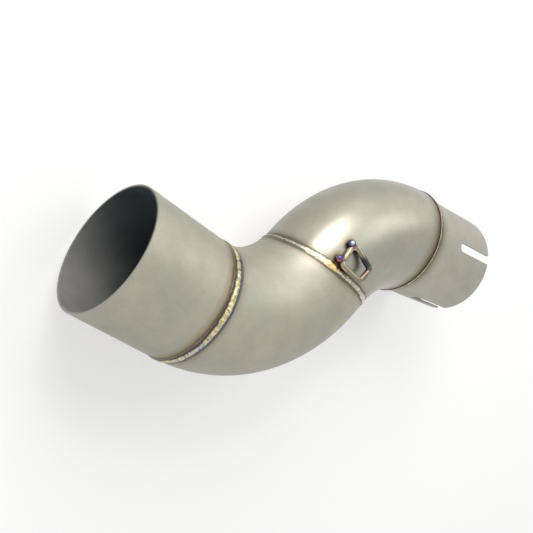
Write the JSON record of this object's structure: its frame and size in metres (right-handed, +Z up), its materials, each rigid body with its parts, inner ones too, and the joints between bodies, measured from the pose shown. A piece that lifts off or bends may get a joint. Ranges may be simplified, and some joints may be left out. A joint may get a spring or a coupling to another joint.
{
  "type": "exhaust mid pipe",
  "caption": "S-shaped motorcycle exhaust mid pipe of welded elbows, with a plain inlet socket, a slotted clamp outlet and a spring hook.",
  "frame": {"origin": "centre of the inlet mouth, on the inlet tube's axis", "axes": "+X along the inlet tube into the part, +Y the side that the S steps over to, +Z up, the side with the spring hook"},
  "size_m": [0.2034, 0.1585, 0.0671],
  "materials": {
    "tube": "satin bead-blasted stainless steel",
    "outlet": "satin bead-blasted stainless steel",
    "weld": "rippled weld bead, straw-coloured",
    "hook": "bare rod, browned by heat",
    "tack": "tack weld, blued by heat"
  },
  "bodies": {
    "root": {"inlet_tube": "tube", "front_elbow": "tube", "rear_elbow": "tube", "outlet_tube": "outlet", "inlet_weld": "weld", "middle_weld": "weld", "outlet_weld": "weld", "spring_hook": "hook", "front_hook_weld": "tack", "rear_hook_weld": "tack"}
  },
  "joints": []
}
